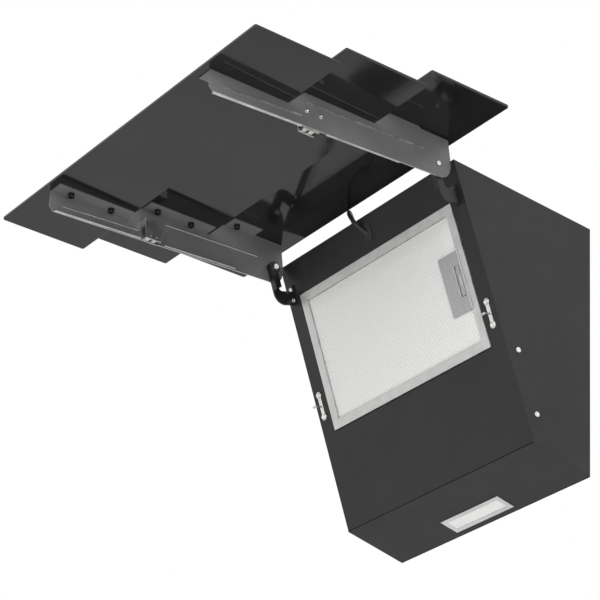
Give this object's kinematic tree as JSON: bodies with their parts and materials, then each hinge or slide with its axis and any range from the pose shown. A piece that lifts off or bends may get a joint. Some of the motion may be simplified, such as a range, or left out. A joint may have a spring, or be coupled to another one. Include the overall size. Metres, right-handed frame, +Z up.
{
  "type": "range hood",
  "caption": "Wall-fixed range hood: a wedge-shaped steel fan housing with a lift-up front of three stepped black glass panes, shown open over its grease filter.",
  "frame": {"origin": "centre of the housing's flat back face, which lies against the wall", "axes": "+Z up along the wall, +Y into the wall, +X along the wall to the right as a cook faces the hood"},
  "size_m": [0.6, 0.6689, 0.4435],
  "materials": {
    "housing_steel": "dark grey powder coat",
    "bracket_steel": "mid grey satin coat",
    "arm_black": "black satin coat",
    "black_glass": "black tempered glass, polished edges",
    "zinc": "bright zinc plate",
    "catch_steel": "zinc plate",
    "filter_aluminium": "pale mill finish",
    "latch_steel": "grey satin",
    "lamp_plastic": "grey moulded",
    "lamp_lens": "opal",
    "board": "green laminate",
    "box_plastic": "pale grey moulded",
    "fan_plastic": "dark moulded",
    "impeller_steel": "galvanised",
    "motor_casing": "dark enamel",
    "capacitor_can": "white can",
    "cable_rubber": "black sheath"
  },
  "bodies": {
    "housing": {"back_panel": "housing_steel", "left_side_panel": "housing_steel", "right_side_panel": "housing_steel", "left_hinge_arm": "arm_black", "right_hinge_arm": "arm_black", "left_strike": "zinc", "right_strike": "zinc", "side_screws": "zinc", "top_panel": "housing_steel", "bottom_panel": "housing_steel", "face_panel": "housing_steel", "filter_tray": "housing_steel", "arm_screws": "zinc", "strike_screws": "zinc", "pivot_bolts": "zinc", "lamp_bezel": "lamp_plastic", "lamp_lens": "lamp_lens", "lamp_board": "board", "lamp_driver": "box_plastic", "fan_scroll": "fan_plastic", "fan_inlet_plate": "fan_plastic", "fan_motor_plate": "fan_plastic", "motor": "motor_casing", "motor_screws": "zinc", "outlet_collar": "fan_plastic", "collar_screws": "zinc", "flap_pin": "zinc", "control_box": "box_plastic", "control_lid": "box_plastic", "control_board": "board", "capacitor": "capacitor_can", "cord_anchor": "box_plastic", "cord_tube": "cable_rubber", "cable_grommet": "cable_rubber", "cord_coil": "cable_rubber", "cord_tail": "cable_rubber", "mains_plug": "cable_rubber"},
    "glass_front": {"lower_glass": "black_glass", "middle_glass": "black_glass", "upper_glass": "black_glass", "left_bracket": "bracket_steel", "right_bracket": "bracket_steel", "left_catch": "catch_steel", "right_catch": "catch_steel", "bracket_screws": "arm_black", "catch_screws": "zinc", "pivot_washers": "zinc"},
    "front_rollers": {"front_catch_rollers": "zinc"},
    "rear_rollers": {"rear_catch_rollers": "zinc"},
    "filter": {"filter_frame": "filter_aluminium", "filter_mesh": "filter_aluminium", "latch_plate": "latch_steel"},
    "latch": {"latch_slider": "latch_steel"},
    "fan": {"impeller": "impeller_steel", "motor_shaft": "zinc", "impeller_nut": "zinc"},
    "left_flap": {"left_flap": "fan_plastic"},
    "right_flap": {"right_flap": "fan_plastic"}
  },
  "joints": [
    {"name": "front_hinge", "type": "hinge", "parent": "housing", "child": "glass_front", "pos_m": [0, -0.2781, 0.18275], "axis": [1, 0, 0], "range_deg": [0, 105.5]},
    {"name": "front_roller_spin", "type": "hinge", "parent": "glass_front", "child": "front_rollers", "pos_m": [0, -0.49718, 0.13906], "axis": [1, 0, 0], "continuous": true},
    {"name": "rear_roller_spin", "type": "hinge", "parent": "glass_front", "child": "rear_rollers", "pos_m": [0, -0.4872, 0.13972], "axis": [1, 0, 0], "continuous": true},
    {"name": "filter_tilt", "type": "hinge", "parent": "housing", "child": "filter", "pos_m": [-0.164, -0.19059, 0.05202], "axis": [0, 0.3809, -0.9246], "range_deg": [0, 4.5]},
    {"name": "latch_slide", "type": "slide", "parent": "filter", "child": "latch", "axis": [-1, 0, 0], "range_m": [0, 0.0038], "stiffness_N_per_m": 300},
    {"name": "fan_spin", "type": "hinge", "parent": "housing", "child": "fan", "pos_m": [0, -0.098, 0.07175], "axis": [1, 0, 0], "continuous": true},
    {"name": "left_flap_hinge", "type": "hinge", "parent": "housing", "child": "left_flap", "pos_m": [0, -0.122, 0.22025], "axis": [0, 1, 0], "range_deg": [0, 70]},
    {"name": "right_flap_hinge", "type": "hinge", "parent": "housing", "child": "right_flap", "pos_m": [0, -0.122, 0.22025], "axis": [0, -1, 0], "range_deg": [0, 70]}
  ],
  "couplings": [
    {"joint": "right_flap_hinge", "follows": "left_flap_hinge", "ratio": 1}
  ]
}
